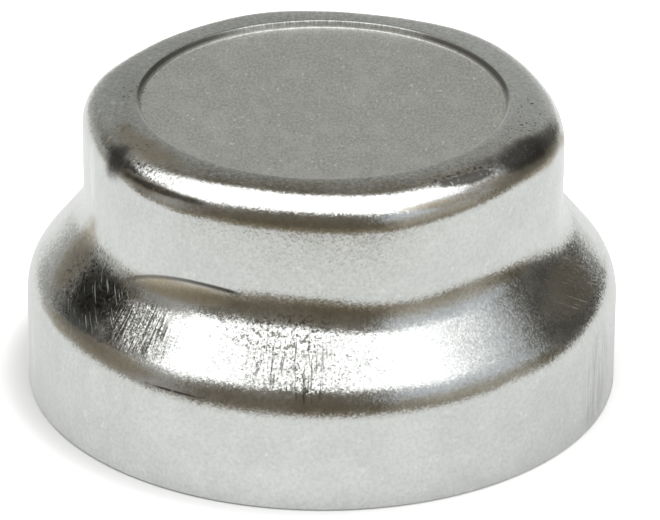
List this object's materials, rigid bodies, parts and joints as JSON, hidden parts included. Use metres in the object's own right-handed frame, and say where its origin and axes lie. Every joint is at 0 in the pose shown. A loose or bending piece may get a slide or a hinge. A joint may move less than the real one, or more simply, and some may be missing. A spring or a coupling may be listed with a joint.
{
  "type": "hub grease cap",
  "caption": "Screw-on steel hub cap with a round internally threaded skirt, rolled shoulder, hexagonal wrench head and shallow round recess in its top.",
  "frame": {"origin": "centre of the open end, on the cap's axis", "axes": "+Z along the axis from the open end to the closed top; two flats of the hexagon face +X and -X"},
  "size_m": [0.144, 0.144, 0.0735],
  "materials": {
    "zinc_steel": "bright zinc-plated pressed steel"
  },
  "bodies": {
    "root": {"cap": "zinc_steel"}
  },
  "joints": []
}
